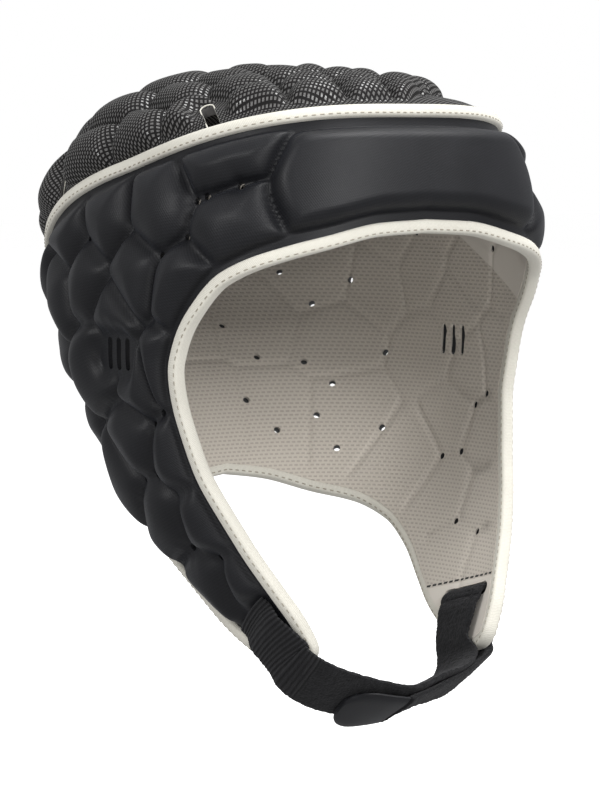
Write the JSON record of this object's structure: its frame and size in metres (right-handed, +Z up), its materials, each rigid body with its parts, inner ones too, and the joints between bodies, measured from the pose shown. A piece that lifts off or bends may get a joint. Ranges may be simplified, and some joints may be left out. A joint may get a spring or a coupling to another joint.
{
  "type": "rugby scrum cap",
  "caption": "Padded rugby head guard with a domed mesh crown, foam-celled sides, long ear flaps, pale bound edges and a chin strap closed by hook and loop.",
  "frame": {"origin": "inside of the crown at its middle, where the top of the head touches the lining", "axes": "+Z up, -Y out of the face opening, +X to the wearer's left"},
  "size_m": [0.173, 0.1902, 0.2436],
  "materials": {
    "stretch_cloth": "black stretch knit over foam, with a slight sheen",
    "lining_cloth": "warm grey open knit, matt",
    "crown_mesh": "dark open diamond mesh over grey padding",
    "edge_tape": "ivory woven tape, matt",
    "strap_loop": "black loop pile, very matt"
  },
  "bodies": {
    "root": {"lining": "lining_cloth", "shell": "stretch_cloth", "crown": "crown_mesh", "crown_binding": "edge_tape", "edge_binding": "edge_tape", "forehead_pad": "stretch_cloth", "chin_strap": "strap_loop", "strap_tab": "stretch_cloth", "side_pad_left_01": "stretch_cloth", "side_pad_right_01": "stretch_cloth", "side_pad_left_02": "stretch_cloth", "side_pad_right_02": "stretch_cloth", "side_pad_left_03": "stretch_cloth", "side_pad_right_03": "stretch_cloth", "side_pad_left_04": "stretch_cloth", "side_pad_right_04": "stretch_cloth", "side_pad_left_05": "stretch_cloth", "side_pad_right_05": "stretch_cloth", "side_pad_left_06": "stretch_cloth", "side_pad_right_06": "stretch_cloth", "side_pad_left_07": "stretch_cloth", "side_pad_right_07": "stretch_cloth", "side_pad_left_08": "stretch_cloth", "side_pad_right_08": "stretch_cloth", "side_pad_left_09": "stretch_cloth", "side_pad_right_09": "stretch_cloth", "side_pad_left_10": "stretch_cloth", "side_pad_right_10": "stretch_cloth", "side_pad_left_11": "stretch_cloth", "side_pad_right_11": "stretch_cloth", "side_pad_left_12": "stretch_cloth", "side_pad_right_12": "stretch_cloth", "side_pad_left_13": "stretch_cloth", "side_pad_right_13": "stretch_cloth", "side_pad_left_14": "stretch_cloth", "side_pad_right_14": "stretch_cloth", "side_pad_left_15": "stretch_cloth", "side_pad_right_15": "stretch_cloth", "side_pad_left_16": "stretch_cloth", "side_pad_right_16": "stretch_cloth", "side_pad_left_17": "stretch_cloth", "side_pad_right_17": "stretch_cloth", "side_pad_left_18": "stretch_cloth", "side_pad_right_18": "stretch_cloth", "side_pad_left_19": "stretch_cloth", "side_pad_right_19": "stretch_cloth", "side_pad_left_20": "stretch_cloth", "side_pad_right_20": "stretch_cloth", "side_pad_left_21": "stretch_cloth", "side_pad_right_21": "stretch_cloth", "side_pad_left_22": "stretch_cloth", "side_pad_right_22": "stretch_cloth", "side_pad_left_23": "stretch_cloth", "side_pad_right_23": "stretch_cloth", "side_pad_left_24": "stretch_cloth", "side_pad_right_24": "stretch_cloth", "side_pad_left_25": "stretch_cloth", "side_pad_right_25": "stretch_cloth", "back_pad_1": "stretch_cloth", "back_pad_2": "stretch_cloth"}
  },
  "joints": []
}
